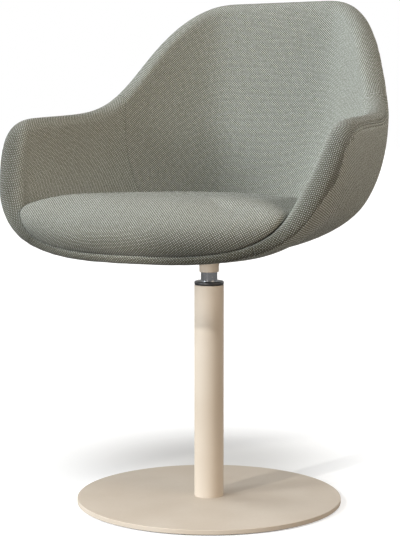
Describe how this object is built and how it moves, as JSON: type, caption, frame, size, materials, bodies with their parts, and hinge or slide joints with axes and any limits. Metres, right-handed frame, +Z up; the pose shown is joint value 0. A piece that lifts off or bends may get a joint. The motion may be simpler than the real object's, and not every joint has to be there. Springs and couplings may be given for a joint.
{
  "type": "swivel armchair",
  "caption": "Upholstered bucket armchair with wrap-around arms and a loose seat cushion, swivelling freely on a round pedestal base.",
  "frame": {"origin": "on the swivel axis at the floor, under the middle of the base's felt pad", "axes": "+Z up along the swivel axis, -Y to the front, where the sitter's knees are, and +X to the sitter's left"},
  "size_m": [0.6284, 0.5715, 0.8621],
  "materials": {
    "weave": "coarse basket weave, sage grey-green melange",
    "foam": "upholstery foam with wadding",
    "moulded_board": "moulded layered board, unfinished",
    "sand_paint": "fine textured powder coat, matt",
    "steel": "plain machined",
    "black_steel": "black oxide",
    "chrome": "polished",
    "black_plastic": "moulded, matt",
    "felt": "pressed felt"
  },
  "bodies": {
    "base": {"floor_pad": "felt", "base_plate": "sand_paint", "foot_screws": "steel", "column_plug": "steel", "column_tube": "sand_paint", "bearing_shelf": "steel", "lower_race": "steel", "guide_sleeve": "black_plastic", "lower_bush": "black_plastic"},
    "bearing": {"ball_cage": "black_plastic", "bearing_balls": "chrome"},
    "seat": {"upper_race": "steel", "spindle_foot": "steel", "spindle_tube": "chrome", "end_washer": "steel", "retaining_clip": "steel", "seat_hub": "sand_paint", "mounting_plate": "sand_paint", "seat_bolts": "black_steel", "bolt_washers": "steel", "threaded_inserts": "steel", "shell_core": "moulded_board", "shell_foam": "foam", "deck_cover": "weave", "back_cover": "weave", "left_arm_cover": "weave", "right_arm_cover": "weave", "front_lip_cover": "weave", "outer_cover": "weave", "cushion_foam": "foam", "cushion_cover": "weave"}
  },
  "joints": [
    {"name": "seat_swivel", "type": "hinge", "parent": "base", "child": "seat", "pos_m": [0, 0, 0.237], "axis": [0, 0, 1], "continuous": true},
    {"name": "cage_turn", "type": "hinge", "parent": "base", "child": "bearing", "pos_m": [0, 0, 0.232], "axis": [0, 0, 1], "continuous": true}
  ],
  "couplings": [
    {"joint": "cage_turn", "follows": "seat_swivel", "ratio": 0.5}
  ]
}
